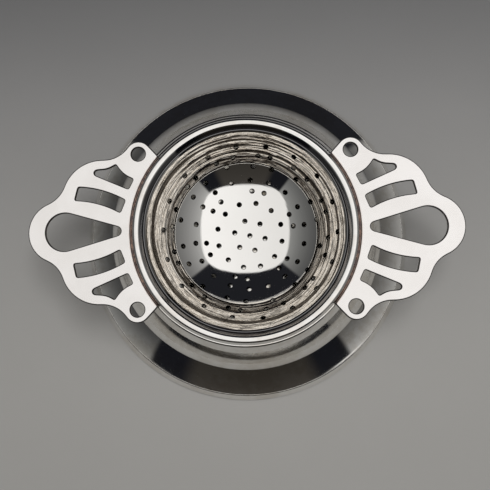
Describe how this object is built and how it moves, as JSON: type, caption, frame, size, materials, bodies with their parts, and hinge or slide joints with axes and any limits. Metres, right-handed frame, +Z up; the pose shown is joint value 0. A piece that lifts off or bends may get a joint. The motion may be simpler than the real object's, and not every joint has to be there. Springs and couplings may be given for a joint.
{
  "type": "tea strainer with drip stand",
  "caption": "Plated tea strainer with a pierced bowl and pierced handles, lying loose on a flared drip stand.",
  "frame": {"origin": "on the table, under the middle of the stand", "axes": "+X along the handles, +Z up out of the bowl"},
  "size_m": [0.1342, 0.1124, 0.0265],
  "materials": {
    "stand_plate": "polished silver plate with fine wiping scratches",
    "cup_plate": "polished silver plate, a little duller inside",
    "bowl_plate": "polished silver plate with a warm tarnish round the wall",
    "rim_plate": "polished silver plate",
    "handle_plate": "satin-bright silver plate with small pits and coppery solder wear"
  },
  "bodies": {
    "stand": {"stand_pedestal": "stand_plate", "mouth_collar": "stand_plate", "drip_cup": "cup_plate", "foot_ring": "stand_plate"},
    "strainer": {"strainer_bowl": "bowl_plate", "strainer_rim": "rim_plate", "handle_right": "handle_plate", "handle_left": "handle_plate"}
  },
  "joints": [
    {"name": "strainer_lift", "type": "slide", "parent": "stand", "child": "strainer", "axis": [0, 0, 1], "range_m": [0, 0.05]}
  ]
}
